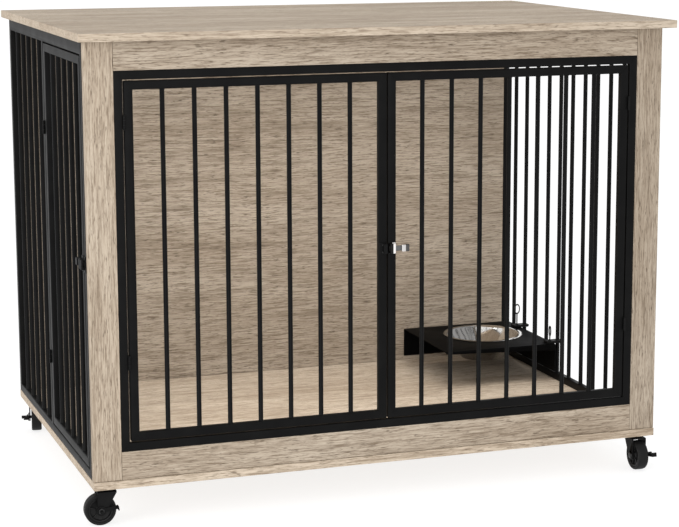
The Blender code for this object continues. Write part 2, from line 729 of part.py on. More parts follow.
def make_caster(name, x, y, degrees):
    """A swivel caster. In its own frame z = 0 is the board's underside and the wheel trails to +X."""
    swivel = joint_empty(f"{name}_swivel_axis", (x, y, CASTER_HEIGHT), degrees)
    mount = joint_empty(f"{name}_mount", (x, y, CASTER_HEIGHT))
    half = CASTER_PLATE / 2
    plate = box((-half, -half, -TOUCH - CASTER_PLATE_THICKNESS), (half, half, -TOUCH))
    round_edges(plate, 0.0008)
    neck_top = -TOUCH - CASTER_PLATE_THICKNESS
    neck_low = neck_top - CASTER_NECK_HEIGHT
    neck = rod((0, 0, neck_low), (0, 0, neck_top + 0.0005), CASTER_NECK_RADIUS, 20)
    unite(plate, neck)
    carry(finish(smooth(plate), f"{name}_caster_plate", BLACK_STEEL), mount)

    crown_top = neck_low - TOUCH
    axle_z = WHEEL_RADIUS - CASTER_HEIGHT
    fork = caster_fork(crown_top, axle_z)
    carry(finish(smooth(fork), f"{name}_caster_fork", BLACK_STEEL), swivel)

    hub = joint_empty(f"{name}_wheel_axis", (CASTER_TRAIL, 0, axle_z), parent=swivel)
    wheel = turned(wheel_profile(), 28)
    wheel.data.transform(Matrix.Rotation(math.pi / 2, 4, "X"))
    carry(finish(smooth(wheel), f"{name}_wheel", RUBBER), hub)

    cheek_out = WHEEL_WIDTH / 2 + FORK_SIDE_GAP + FORK_SHEET
    pedal_out = cheek_out + TOUCH + PEDAL_SHEET
    head = pedal_out + TOUCH
    axle = rod((0, -head - AXLE_HEAD_HEIGHT + 0.0005, 0), (0, head + 0.0005, 0), AXLE_RADIUS, 16)
    near = rod((0, -cheek_out - TOUCH - AXLE_HEAD_HEIGHT, 0), (0, -cheek_out - TOUCH, 0), AXLE_HEAD_RADIUS, 16)
    far = rod((0, head, 0), (0, head + AXLE_HEAD_HEIGHT, 0), AXLE_HEAD_RADIUS, 16)
    unite(near, axle, far)
    axle_piece = finish(smooth(near), f"{name}_axle", BLACK_STEEL)
    axle_piece.parent = swivel
    axle_piece.location = (CASTER_TRAIL, 0, axle_z)

    pedal = brake_pedal(cheek_out + TOUCH)
    if name in PEDALS_ON_WHEEL_SIDE:
        pedal.data.transform(Matrix.Scale(-1, 4, (1, 0, 0)))
        pedal.data.flip_normals()
    carry(finish(smooth(pedal), f"{name}_brake_pedal", BLACK_STEEL), hub)


def wheel_profile():
    """(radius, height) points of the wheel about its axle, with a recessed web between tyre and hub."""
    half = WHEEL_WIDTH / 2
    outer = WHEEL_RADIUS
    hub = AXLE_RADIUS * 2.4
    bore = AXLE_RADIUS + AXLE_CLEARANCE
    rim = outer - 0.006
    web = half - 0.0025
    edge = 0.003
    down = [(hub, half), (hub + 0.001, web), (rim - 0.001, web), (rim, half), (outer - edge, half)]
    down.append((outer - edge * 0.3, half - edge * 0.3))
    down.append((outer, half - edge))
    mirrored = [(radius, -height) for radius, height in reversed(down)]
    return down + mirrored + [(bore, -half), (bore, half)]


def caster_fork(top, axle_z):
    """A crown plate and two cheeks that taper to the axle."""
    cheek_in = WHEEL_WIDTH / 2 + FORK_SIDE_GAP
    cheek_out = cheek_in + FORK_SHEET
    back = FORK_TOP_LENGTH / 2
    front = -back
    half = cheek_out + 0.0002
    crown = box((front - 0.0005, -half, top - FORK_SHEET), (back + 0.0005, half, top))
    boss = arc((CASTER_TRAIL, axle_z), FORK_BOSS_RADIUS, -150, 10, 10)
    head = top - FORK_SHEET / 2
    nose = [(front, head), (front + FORK_NOSE_TAPER, top - FORK_NOSE_DEPTH)]
    tail = [(back, top - FORK_TAIL_DEPTH), (back, head)]
    outline = nose + boss + tail
    cheeks = []
    for side in (-1, 1):
        cheek = plate_outline(outline, FORK_SHEET)
        middle = side * (cheek_in + cheek_out) / 2
        cheek.data.transform(Matrix.Translation((0, middle, 0)) @ Matrix.Rotation(math.pi / 2, 4, "X"))
        cheeks.append(cheek)
    unite(crown, *cheeks)
    hole = rod(
        (CASTER_TRAIL, -cheek_out - 0.01, axle_z),
        (CASTER_TRAIL, cheek_out + 0.01, axle_z),
        AXLE_RADIUS + PIN_CLEARANCE,
        16,
    )
    return cut(crown, hole)


def brake_pedal(start):
    """A side lever about the axle, with a tab turned outwards at its end."""
    middle = start + PEDAL_SHEET / 2
    rise = math.atan2(PEDAL_RISE, PEDAL_REACH)
    half = PEDAL_ARM_HEIGHT / 2
    ring = arc((0, 0), PEDAL_RING_RADIUS, -150, 150, 20)
    outline = ring + [(-PEDAL_REACH, half), (-PEDAL_REACH, -half)]
    arm = plate_outline(outline, PEDAL_SHEET)
    arm.data.transform(Matrix.Translation((0, middle, 0)) @ Matrix.Rotation(math.pi / 2, 4, "X"))
    tab = box(
        (-PEDAL_REACH - 0.0004, start + 0.0003, -half - 0.0008),
        (-PEDAL_REACH + PEDAL_SHEET, start + PEDAL_TAB_WIDTH, half + 0.0008),
    )
    unite(arm, tab)
    cut(arm, rod((0, start - 0.01, 0), (0, start + 0.02, 0), AXLE_RADIUS + PIN_CLEARANCE, 16))
    arm.data.transform(Matrix.Rotation(rise, 4, "Y"))
    return arm


def make_casters():
    side_x = HALF_WIDTH - CASTER_SIDE_INSET
    front_y = FRONT_Y - BASE_LIP + CASTER_FRONT_INSET
    rear_y = REAR_Y + BASE_LIP - CASTER_REAR_INSET
    places = {
        "front_left": (-side_x, front_y),
        "front_right": (side_x, front_y),
        "rear_left": (-side_x, rear_y),
        "rear_right": (side_x, rear_y),
    }
    for name, (x, y) in places.items():
        make_caster(name, x, y, CASTER_TRAIL_DEGREES[name])


clear_scene()
CRATE = new_collection("dog_crate")
make_boards()
make_front()
make_left_side()
make_right_side()
make_feeder()
make_casters()
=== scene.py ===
"""The looks of a furniture dog crate: oak laminate boards, powder-coated steel, a steel bowl and four casters."""

import math

import bmesh
import bpy
from mathutils import Matrix, Vector


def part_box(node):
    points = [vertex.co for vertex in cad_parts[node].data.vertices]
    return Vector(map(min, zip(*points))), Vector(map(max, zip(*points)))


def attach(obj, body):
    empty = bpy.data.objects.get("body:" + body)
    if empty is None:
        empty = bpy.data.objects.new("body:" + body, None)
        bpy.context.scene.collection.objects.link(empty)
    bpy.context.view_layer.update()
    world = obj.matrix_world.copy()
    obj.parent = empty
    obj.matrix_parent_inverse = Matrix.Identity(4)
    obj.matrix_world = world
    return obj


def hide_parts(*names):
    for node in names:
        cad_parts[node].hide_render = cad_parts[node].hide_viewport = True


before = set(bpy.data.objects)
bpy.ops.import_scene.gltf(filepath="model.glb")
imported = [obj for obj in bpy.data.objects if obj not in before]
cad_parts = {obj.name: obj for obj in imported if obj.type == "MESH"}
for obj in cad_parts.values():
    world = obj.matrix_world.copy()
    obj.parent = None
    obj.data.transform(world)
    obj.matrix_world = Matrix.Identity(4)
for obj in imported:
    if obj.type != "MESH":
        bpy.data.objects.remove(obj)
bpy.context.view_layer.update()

# Sizes that the steelwork repeats
TUBE = 0.015
SIDE_TOP_TUBE = 0.024
DOOR_GAP = 0.0024
BAR_RADIUS = 0.0042
LEFT_BAR_RADIUS = 0.0047
BARS = {
    "front_left_door": 7,
    "front_right_door": 7,
    "left_side_door": 5,
    "left_side_frame": 5,
    "right_side_panel": 11,
}
TUBE_ROUND = 0.0013
BAR_INTO_TUBE = 0.004
BEAD = 0.0013
SEAM_WIDTH = 0.0005
SEAM_DEPTH = 0.0006
SEAM_MARGIN = 0.0012
BEYOND_FRAME = 0.01

SMOOTH_ANGLE = math.radians(38)
QUARTER_TURN = math.pi / 2
# How far a cutter for a hole runs past the surface
THROUGH = 0.01


# ---------------------------------------------------------------- modelling helpers


def only(*objects):
    bpy.ops.object.select_all(action="DESELECT")
    for obj in objects:
        obj.select_set(True)
    bpy.context.view_layer.objects.active = objects[0]


def settle(obj):
    """Moves the object's place, turn and size into its mesh."""
    only(obj)
    bpy.ops.object.transform_apply(location=True, rotation=True, scale=True)
    return obj


def block(low, high):
    bpy.ops.object.select_all(action="DESELECT")
    low, high = Vector(low), Vector(high)
    bpy.ops.mesh.primitive_cube_add(size=1, location=(low + high) / 2, scale=high - low)
    return settle(bpy.context.object)


def rod(start, end, radius, sides=32):
    bpy.ops.object.select_all(action="DESELECT")
    start, end = Vector(start), Vector(end)
    along = end - start
    turn = Vector((0, 0, 1)).rotation_difference(along).to_euler()
    bpy.ops.mesh.primitive_cylinder_add(
        vertices=sides, radius=radius, depth=along.length, location=(start + end) / 2, rotation=turn
    )
    return settle(bpy.context.object)


def edit(obj, kind="FACE"):
    """Opens the object in edit mode with nothing selected."""
    only(obj)
    bpy.ops.object.mode_set(mode="EDIT")
    bpy.ops.mesh.select_mode(type=kind)
    bpy.ops.mesh.select_all(action="DESELECT")
    return bmesh.from_edit_mesh(obj.data)


def edit_all(obj, kind="FACE"):
    """Opens the object in edit mode with all of it selected."""
    edit(obj, kind)
    bpy.ops.mesh.select_all(action="SELECT")


def select(obj, shape, elements, test):
    for element in elements:
        element.select_set(bool(test(element)))
    shape.select_flush_mode()
    bmesh.update_edit_mesh(obj.data)


def close_edit():
    bpy.ops.object.mode_set(mode="OBJECT")


def finish_modifier(obj, modifier):
    only(obj)
    bpy.ops.object.modifier_apply(modifier=modifier.name)
    return obj


def soften(obj, width, segments=3, degrees=40):
    modifier = obj.modifiers.new("Soft edges", "BEVEL")
    modifier.width = width
    modifier.segments = segments
    modifier.limit_method = "ANGLE"
    modifier.angle_limit = math.radians(degrees)
    return finish_modifier(obj, modifier)


def boolean(obj, other, operation):
    modifier = obj.modifiers.new("Boolean", "BOOLEAN")
    modifier.operation = operation
    modifier.solver = "EXACT"
    modifier.object = other
    finish_modifier(obj, modifier)
    bpy.data.objects.remove(other)
    return obj


def join(objects):
    objects = list(objects)
    if len(objects) > 1:
        only(*objects)
        bpy.ops.object.join()
    return objects[0]


def weld(obj, *others):
    return boolean(obj, join(others), "UNION")


def carve(obj, *others):
    return boolean(obj, join(others), "DIFFERENCE")


def copy_of(obj, matrix):
    twin = obj.copy()
    twin.data = obj.data.copy()
    bpy.context.scene.collection.objects.link(twin)
    twin.data.transform(matrix)
    return twin


def shift(obj, matrix):
    obj.data.transform(matrix)
    return obj


def trim(obj, place, outward):
    """Cuts off what lies beyond a plane and closes the cut."""
    edit_all(obj)
    bpy.ops.mesh.bisect(plane_co=place, plane_no=outward, clear_outer=True, use_fill=True)
    close_edit()
    return obj


def turned(points, sides):
    """A turned shape about Z: a circle at the first (radius, height), drawn out ring by ring.

    It is closed by its caps, or joined to its start where the last point is the first one.
    """
    bpy.ops.object.select_all(action="DESELECT")
    radius, height = points[0]
    bpy.ops.mesh.primitive_circle_add(vertices=sides, radius=radius, location=(0, 0, 0))
    obj = bpy.context.object
    ring = points[-1] == points[0]
    edit_all(obj, "EDGE")
    bpy.ops.transform.translate(value=(0, 0, height))
    if not ring:
        bpy.ops.mesh.edge_face_add()
    for next_radius, next_height in points[1:]:
        bpy.ops.mesh.extrude_edges_move()
        bpy.ops.transform.translate(value=(0, 0, next_height - height))
        grow = next_radius / radius
        bpy.ops.transform.resize(value=(grow, grow, 1), center_override=(0, 0, next_height))
        radius, height = next_radius, next_height
    if not ring:
        bpy.ops.mesh.edge_face_add()
    bpy.ops.mesh.select_all(action="SELECT")
    bpy.ops.mesh.remove_doubles(threshold=0.000002)
    bpy.ops.mesh.normals_make_consistent(inside=False)
    close_edit()
    return obj


def middle(node):
    low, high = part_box(node)
    return (low + high) / 2


def paint(node, finish):
    """Gives a CAD node its finish."""
    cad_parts[node].material_slots[0].material = finish


def done(obj, name, body, slot, finish, *nodes):
    """Smooths and names a finished piece, paints it and hands it to its body."""
    only(obj)
    bpy.ops.object.shade_smooth_by_angle(angle=SMOOTH_ANGLE)
    obj.name = name
    obj.data.name = name
    obj.data.materials.clear()
    obj.data.materials.append(finish)
    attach(obj, body)
    if nodes:
        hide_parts(*nodes)
    return obj


# ---------------------------------------------------------------- material helpers


class Field:
    """A value that varies over a surface. Maths on it adds nodes to its finish."""

    def __init__(self, finish, socket):
        self.finish = finish
        self.socket = socket

    def maths(self, operation, *values):
        return self.finish.node("ShaderNodeMath", {"operation": operation}, *values)

    def __add__(self, other):
        return self.maths("ADD", self, other)

    def __radd__(self, other):
        return self.maths("ADD", other, self)

    def __sub__(self, other):
        return self.maths("SUBTRACT", self, other)

    def __mul__(self, other):
        return self.maths("MULTIPLY", self, other)

    def __rmul__(self, other):
        return self.maths("MULTIPLY", other, self)

    def __pow__(self, other):
        return self.maths("POWER", self, other)

    def step(self, low, high):
        """0 below low and 1 above high, or the other way round where low is the larger."""
        return self.finish.node(
            "ShaderNodeMapRange",
            {"interpolation_type": "SMOOTHSTEP"},
            Value=self,
            From_Min=min(low, high),
            From_Max=max(low, high),
            To_Min=float(low > high),
            To_Max=float(low < high),
        )


class Finish:
    """A material around one Principled shader."""

    def __init__(self, name, **constants):
        self.material = bpy.data.materials.new(name)
        self.material.use_nodes = True
        self.tree = self.material.node_tree
        self.shader = self.tree.nodes["Principled BSDF"]
        for socket, value in constants.items():
            self.shader.inputs[socket.replace("_", " ")].default_value = value
        self.place = self.node("ShaderNodeTexCoord", {}, output="Object")

    def node(self, kind, settings, *values, output=0, **named):
        """Adds a node, sets it, and fills its inputs by order or by name with numbers or fields."""
        node = self.tree.nodes.new(kind)
        for key, value in settings.items():
            setattr(node, key, value)
        filled = list(enumerate(values))
        filled += [(key.replace("_", " "), value) for key, value in named.items()]
        for key, value in filled:
            if isinstance(value, Field):
                self.tree.links.new(value.socket, node.inputs[key])
            else:
                node.inputs[key].default_value = value
        return Field(self, node.outputs[output])

    def axes(self, vector):
        """The X, Y and Z of a vector, each a field."""
        first = self.node("ShaderNodeSeparateXYZ", {}, Vector=vector)
        return [Field(self, socket) for socket in first.socket.node.outputs]

    def scaled(self, vector, scale, offset=(0, 0, 0)):
        return self.node("ShaderNodeMapping", {}, Vector=vector, Scale=scale, Location=offset)

    def noise(self, vector, scale, detail=2.0, roughness=0.5, offset=(0, 0, 0)):
        """Cloudy values from 0 to 1, with scale cells a metre on each axis."""
        if not isinstance(scale, tuple):
            scale = (scale, scale, scale)
        spread = self.scaled(vector, scale, offset)
        fineness = {"Detail": detail, "Roughness": roughness}
        return self.node("ShaderNodeTexNoise", {}, Vector=spread, Scale=1.0, **fineness)

    def mix(self, factor, one, other, blend="MIX"):
        """Mixes two colours. The node's inputs are found by index, as their names repeat."""
        node = self.tree.nodes.new("ShaderNodeMix")
        node.data_type = "RGBA"
        node.blend_type = blend
        for index, value in ((0, factor), (6, one), (7, other)):
            if isinstance(value, Field):
                self.tree.links.new(value.socket, node.inputs[index])
            elif index:
                node.inputs[index].default_value = (*value, 1.0)
            else:
                node.inputs[index].default_value = value
        return Field(self, node.outputs[2])

    def set(self, **fields):
        for socket, field in fields.items():
            self.tree.links.new(field.socket, self.shader.inputs[socket.replace("_", " ")])

    def bump(self, height, distance, strength):
        lifted = self.node("ShaderNodeBump", {}, Strength=strength, Distance=distance, Height=height)
        self.set(Normal=lifted)


# ---------------------------------------------------------------- finishes

OAK_PALE = (0.520, 0.446, 0.364)
OAK_MID = (0.385, 0.316, 0.246)
OAK_DARK = (0.195, 0.148, 0.106)
OAK_PORE = (0.105, 0.078, 0.055)
GRAIN_SWAY = 0.03
GRAIN_DEPTH = 0.00022

# The bowl's steel colour, and the dark colour of the shade painted over its left half
BOWL_LIGHT = (0.82, 0.80, 0.77)
BOWL_PAINTED_SHADE = (0.16, 0.155, 0.15)
REFLECTION_BAND_EDGE = 0.0004


def oak(name, grain, seed, tone_and_shade, contrast):
    """Printed greige oak with its grain along one axis, times a tone that also paints shade."""
    finish = Finish(name, Specular_IOR_Level=0.15)
    offset = (seed * 1.37, seed * 0.71, seed * 2.13)
    dash_offset = (seed * 3.1, seed, seed * 1.9)
    check_offset = (seed, seed * 2.7, seed * 4.1)

    def lengthwise(along, across):
        return tuple(along if axis == grain else across for axis in "XYZ")

    drift = finish.noise(finish.place, lengthwise(1.6, 5.0), 2.0, 0.5, offset) - 0.5
    sideways = [drift * (0.0 if axis == grain else GRAIN_SWAY) for axis in "XYZ"]
    sway = finish.node("ShaderNodeCombineXYZ", {}, *sideways)
    flow = finish.node("ShaderNodeVectorMath", {"operation": "ADD"}, finish.place, sway)
    cloud = finish.noise(flow, lengthwise(2.0, 12.0), 3.0, 0.55, offset)
    band = finish.noise(flow, lengthwise(3.0, 62.0), 3.0, 0.6, offset)
    streak = finish.noise(flow, lengthwise(9.0, 270.0), 3.0, 0.65, offset)
    fibre = finish.noise(flow, lengthwise(26.0, 460.0), 3.0, 0.7, offset)
    hair = finish.noise(flow, lengthwise(70.0, 1100.0), 1.0, 0.6, offset)
    dash = finish.noise(flow, lengthwise(60.0, 480.0), 2.0, 0.6, dash_offset).step(0.57, 0.71)
    check = finish.noise(flow, lengthwise(7.0, 120.0), 2.0, 0.5, check_offset).step(0.62, 0.76)
    knot_place = finish.scaled(flow, lengthwise(1.9, 4.4), offset)
    near = finish.node("ShaderNodeTexVoronoi", {}, Vector=knot_place, Scale=1.0, Randomness=1.0)
    knot = near.step(0.030, 0.012)
    halo = near.step(0.075, 0.025)

    colour = finish.mix(cloud.step(0.30, 0.72), OAK_MID, OAK_PALE)
    colour = finish.mix(band.step(0.50, 0.30) * 0.42 * contrast, colour, OAK_DARK)
    colour = finish.mix(band.step(0.54, 0.72) * 0.42 * contrast, colour, OAK_PALE)
    colour = finish.mix(streak.step(0.52, 0.32) * 0.40 * contrast, colour, OAK_DARK)
    colour = finish.mix(streak.step(0.55, 0.72) * 0.45 * contrast, colour, OAK_PALE)
    colour = finish.mix(fibre.step(0.52, 0.34) * 0.78 * contrast, colour, OAK_DARK)
    colour = finish.mix(fibre.step(0.54, 0.70) * 0.60 * contrast, colour, OAK_PALE)
    colour = finish.mix(hair.step(0.46, 0.30) * 0.35 * contrast, colour, OAK_DARK)
    colour = finish.mix(check * streak.step(0.62, 0.42) * 0.35 * contrast, colour, OAK_PORE)
    colour = finish.mix(dash * 0.66 * contrast, colour, OAK_PORE)
    colour = finish.mix(halo * 0.30, colour, OAK_DARK)
    colour = finish.mix(knot * 0.75, colour, OAK_PORE)
    # Multiplies in the board's tone, which also paints shade where less light reaches the board
    colour = finish.mix(1.0, colour, (tone_and_shade, tone_and_shade * 0.985, tone_and_shade * 0.955), "MULTIPLY")
    finish.set(Base_Color=colour, Roughness=0.58 + 0.2 * fibre + 0.08 * dash)
    finish.bump(fibre * 0.5 + streak * 0.5 - dash * 0.6 - knot * 0.5, GRAIN_DEPTH, 0.6)
    return finish.material


def powder_coat(name, base=0.0030, shine=0.075):
    """Satin black powder coat with its fine orange peel."""
    finish = Finish(name, Specular_IOR_Level=shine)
    peel = finish.noise(finish.place, 620.0, 2.0, 0.5)
    cloud = finish.noise(finish.place, 22.0, 3.0, 0.6)
    speck = finish.noise(finish.place, 1500.0, 1.0, 0.5).step(0.66, 0.76)
    dark = (base, base, base * 1.03)
    light = (base * 1.9, base * 1.9, base * 1.85)
    colour = finish.mix(cloud.step(0.35, 0.75) * 0.7 + speck * 0.5, dark, light)
    finish.set(Base_Color=colour, Roughness=0.36 + 0.16 * cloud + 0.08 * peel)
    finish.bump(peel, 0.00009, 0.5)
    return finish.material


def blackened(name, tint, rough):
    """Blackened steel with fine scratches."""
    finish = Finish(name, Metallic=1.0)
    smear = finish.noise(finish.place, 130.0, 3.0, 0.6)
    scratch = finish.noise(finish.place, (1500.0, 1500.0, 260.0), 2.0, 0.6)
    dull = tuple(part * 0.86 for part in tint)
    finish.set(
        Base_Color=finish.mix(smear.step(0.4, 0.7) * 0.5, tint, dull),
        Roughness=rough + 0.10 * smear.step(0.35, 0.8) + 0.07 * scratch,
    )
    finish.bump(scratch, 0.00002, 0.35)
    return finish.material


def spun_steel(name, centre):
    """Stainless steel with turning lines about a vertical axis, with painted shade darkening its left side."""
    finish = Finish(name, Metallic=1.0)
    local = finish.scaled(finish.place, (1, 1, 1), (-centre.x, -centre.y, 0))
    x, y, z = finish.axes(local)
    reach = (x * x + y * y) ** 0.5
    ring_place = finish.node("ShaderNodeCombineXYZ", {}, reach, z * 0.6, 0.0)
    ring = finish.noise(ring_place, 1400.0, 2.0, 0.7)
    # Painted shade: the left half of the bowl is mixed towards a dark colour
    shade = x.step(0.022, 0.0)
    smear = finish.noise(finish.place, 45.0, 3.0, 0.6)
    finish.set(
        Base_Color=finish.mix(shade * 0.849, BOWL_LIGHT, BOWL_PAINTED_SHADE),
        Roughness=0.07 + 0.06 * smear.step(0.4, 0.75) + 0.06 * ring,
    )
    finish.bump(ring, 0.00004, 0.45)
    return finish.material


def latch_chrome(name, node, stops):
    """Chrome with painted reflections: bright bands and painted shade along a latch part.

    Stops are (share of its width, tint of the painted band) from the left.
    """
    low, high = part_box(node)
    finish = Finish(name, Metallic=1.0)
    along = finish.axes(finish.place)[0]
    smear = finish.noise(finish.place, 260.0, 3.0, 0.6)
    first = stops[0][1]
    colour = finish.mix(smear * 0.3, (first,) * 3, (first * 0.7,) * 3)
    # Each stop paints a bright reflection band or a band of shade across the chrome
    for share, tint in stops[1:]:
        edge = low.x + share * (high.x - low.x)
        beyond = along.step(edge - REFLECTION_BAND_EDGE, edge + REFLECTION_BAND_EDGE)
        colour = finish.mix(beyond, colour, (tint, tint * 0.97, tint * 0.95))
    finish.set(Base_Color=colour, Roughness=0.10 + 0.12 * smear)
    return finish.material


def moulded(name, base, rough, grain=900.0):
    """Black moulded plastic or rubber with a fine spark-eroded texture."""
    finish = Finish(name, Specular_IOR_Level=0.2)
    fine = finish.noise(finish.place, grain, 2.0, 0.6)
    cloud = finish.noise(finish.place, 60.0, 3.0, 0.6)
    dust = cloud.step(0.5, 0.8)
    colour = finish.mix(dust * 0.6, (base, base, base), (base * 2.4, base * 2.3, base * 2.1))
    finish.set(Base_Color=colour, Roughness=rough + 0.14 * cloud + 0.06 * fine)
    finish.bump(fine, 0.00012, 0.5)
    return finish.material


STEEL = powder_coat("black powder coat")
STEEL_FITTING = powder_coat("black fitting coat", 0.0045)
TRAY_STEEL = powder_coat("black tray coat", 0.0018, 0.02)
BLACK_OXIDE = blackened("blackened screws", (0.045, 0.045, 0.045), 0.30)
TYRE = moulded("black tyre", 0.0040, 0.50)
HUB = moulded("black hub", 0.0060, 0.36, 500.0)


# ---------------------------------------------------------------- boards

# Each board: the axis of its grain, its seed, its tone and its contrast. The tone paints shade as well as the
# board's own tone: the right stile is darker than the left one where less light reaches it.
BOARDS = {
    "tabletop": ("X", 1.3, 1.04, 0.9),
    "bottom_board": ("X", 2.6, 1.15, 1.1),
    "back_panel": ("X", 3.9, 0.73, 1.15),
    "front_left_stile": ("Z", 5.1, 0.96, 1.05),
    "front_right_stile": ("Z", 6.7, 0.84, 1.05),
    "front_top_rail": ("X", 8.2, 0.86, 1.2),
    "front_bottom_rail": ("X", 9.4, 0.89, 1.2),
}
for board, look in BOARDS.items():
    paint(board, oak(f"oak {board}", *look))


# ---------------------------------------------------------------- steel frames and bars


def even_places(start, end, count, radius):
    """Bar centres that leave equal clear gaps between start and end."""
    clear = (end - start - count * 2 * radius) / (count + 1)
    return [start + clear + radius + i * (clear + 2 * radius) for i in range(count)]


def welded_bar(low_z, high_z, radius):
    """An upright bar at the origin, with a weld bead where it meets the tube at each end."""
    bar = rod((0, 0, low_z - BAR_INTO_TUBE), (0, 0, high_z + BAR_INTO_TUBE), radius, 24)
    cuts = (low_z, low_z + BEAD * 0.5, low_z + BEAD, high_z - BEAD, high_z - BEAD * 0.5, high_z)
    swells = (BEAD, BEAD * 0.35, 0, 0, BEAD * 0.35, BEAD)
    for z in cuts:
        edit_all(bar)
        bpy.ops.mesh.bisect(plane_co=(0, 0, z), plane_no=(0, 0, 1))
        close_edit()
    for z, swell in zip(cuts, swells):
        if swell:
            shape = edit(bar, "VERT")
            select(bar, shape, shape.verts, lambda vert: abs(vert.co.z - z) < 0.00005)
            grow = 1 + swell / radius
            bpy.ops.transform.resize(value=(grow, grow, 1), center_override=(0, 0, z))
            close_edit()
    return bar


def mitre_seams(low, high, width, thin):
    """Cutters for the fine seams across a frame's corners.

    thin is the axis of the frame's thickness.
    """
    wide = "Y" if thin == "X" else "X"
    t, w = "XYZ".index(thin), "XYZ".index(wide)
    long = width * math.sqrt(2) - SEAM_MARGIN
    for face in (low[t], high[t]):
        for side, near in ((1, low[w]), (-1, high[w])):
            for up, base in ((1, low[2]), (-1, high[2])):
                size = Vector((0, 0, SEAM_WIDTH))
                size[t] = SEAM_DEPTH
                size[w] = long
                seam = block(-size / 2, size / 2)
                centre = Vector((0, 0, base + up * width / 2))
                centre[t] = face
                centre[w] = near + side * width / 2
                slope = side * up * math.pi / 4
                turn = -slope if thin == "Y" else slope
                yield shift(seam, Matrix.Translation(centre) @ Matrix.Rotation(turn, 4, thin))


def barred_frame(node, body, thin, windows, barred):
    """A tube frame cut out by its windows, with bars in the barred ones.

    thin is the axis of its thickness. Windows are (start, end, low z, high z).
    """
    low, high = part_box(node)
    t, w = "XYZ".index(thin), 1 if thin == "X" else 0
    solid = block(low, high)
    beyond = Vector((BEYOND_FRAME, BEYOND_FRAME, 0))
    cutters = []
    for start, end, z_low, z_high in windows:
        corner, far = low - beyond, high + beyond
        corner[w], far[w] = start, end
        corner[2], far[2] = z_low, z_high
        cutters.append(block(corner, far))
    carve(solid, *cutters)
    soften(solid, TUBE_ROUND)
    carve(solid, *mitre_seams(low, high, TUBE, thin))
    for number in barred:
        start, end, z_low, z_high = windows[number]
        radius = LEFT_BAR_RADIUS if node.startswith("left_side") else BAR_RADIUS
        bar = welded_bar(z_low, z_high, radius)
        bars = []
        for place in even_places(start, end, BARS[node], radius):
            centre = Vector((0, 0, 0))
            centre[t] = (low[t] + high[t]) / 2
            centre[w] = place
            bars.append(copy_of(bar, Matrix.Translation(centre)))
        bpy.data.objects.remove(bar)
        weld(solid, *bars)
    return done(solid, f"{node}_welded", body, "black_steel", STEEL, node)


def inner_window(node, thin, top=TUBE):
    low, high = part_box(node)
    w = 1 if thin == "X" else 0
    return low[w] + TUBE, high[w] - TUBE, low[2] + TUBE, high[2] - top


def make_steelwork():
    barred_frame("front_steel_frame", "crate", "Y", [inner_window("front_steel_frame", "Y")], [])
    doors = (("front_left_door", "Y"), ("front_right_door", "Y"), ("left_side_door", "X"))
    for door, thin in doors:
        barred_frame(door, door, thin, [inner_window(door, thin)], [0])
    panel_window = inner_window("right_side_panel", "X", SIDE_TOP_TUBE)
    barred_frame("right_side_panel", "crate", "X", [panel_window], [0])
    start, end, z_low, z_high = inner_window("left_side_frame", "X", SIDE_TOP_TUBE)
    opening_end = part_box("left_side_door")[1].y + DOOR_GAP
    windows = [(start, opening_end, z_low, z_high), (opening_end + TUBE, end, z_low, z_high)]
    barred_frame("left_side_frame", "crate", "X", windows, [1])


make_steelwork()

# ---------------------------------------------------------------- hinges and latches

LATCH_PLATE = 0.0015
LATCH_SCREW_INSET = 0.0034
LATCH_SCREW_RADIUS = 0.0016
LATCH_SCREW_HEIGHT = 0.0007
# Painted reflection and shade bands on the front latch's chrome, as (share of the width from the left, tint)
BARREL_PAINTED_REFLECTIONS = [(0, 0.02), (0.50, 0.85), (0.92, 0.30)]
BOLT_PAINTED_REFLECTIONS = [(0, 0.14), (0.60, 0.62), (0.80, 0.09)]

# The outer side of the latch plates by the axis that they face along
PLATE_FACE = {
    0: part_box("left_side_frame")[0].x - LATCH_PLATE,
    1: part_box("front_steel_frame")[0].y - LATCH_PLATE,
}


def screw_head(radius, height):
    """A pan head with a cross recess, facing -Y, its seat at the origin."""
    rim = [(radius, 0), (radius, height * 0.4)]
    head = turned(rim + [(radius * 0.86, height * 0.8), (radius * 0.5, height)], 24)
    long, short, floor, top = radius * 0.55, radius * 0.11, height * 0.45, height * 2
    for x, y in ((long, short), (short, long)):
        carve(head, block((-x, -y, floor), (x, y, top)))
    return shift(head, Matrix.Rotation(QUARTER_TURN, 4, "X"))


def latch_screws(node, body, axis, turn):
    """Two screws through a latch plate, above and below its bolt.

    axis is the one that the plate faces along, and turn faces the screws outwards.
    """
    low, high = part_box(node)
    screws = []
    for z in (low.z + LATCH_SCREW_INSET, high.z - LATCH_SCREW_INSET):
        place = middle(node)
        place.z = z
        place[axis] = PLATE_FACE[axis]
        head = screw_head(LATCH_SCREW_RADIUS, LATCH_SCREW_HEIGHT)
        screws.append(shift(head, Matrix.Translation(place) @ Matrix.Rotation(turn, 4, "Z")))
    return done(join(screws), f"{node}_screws", body, "black_steel", BLACK_OXIDE)


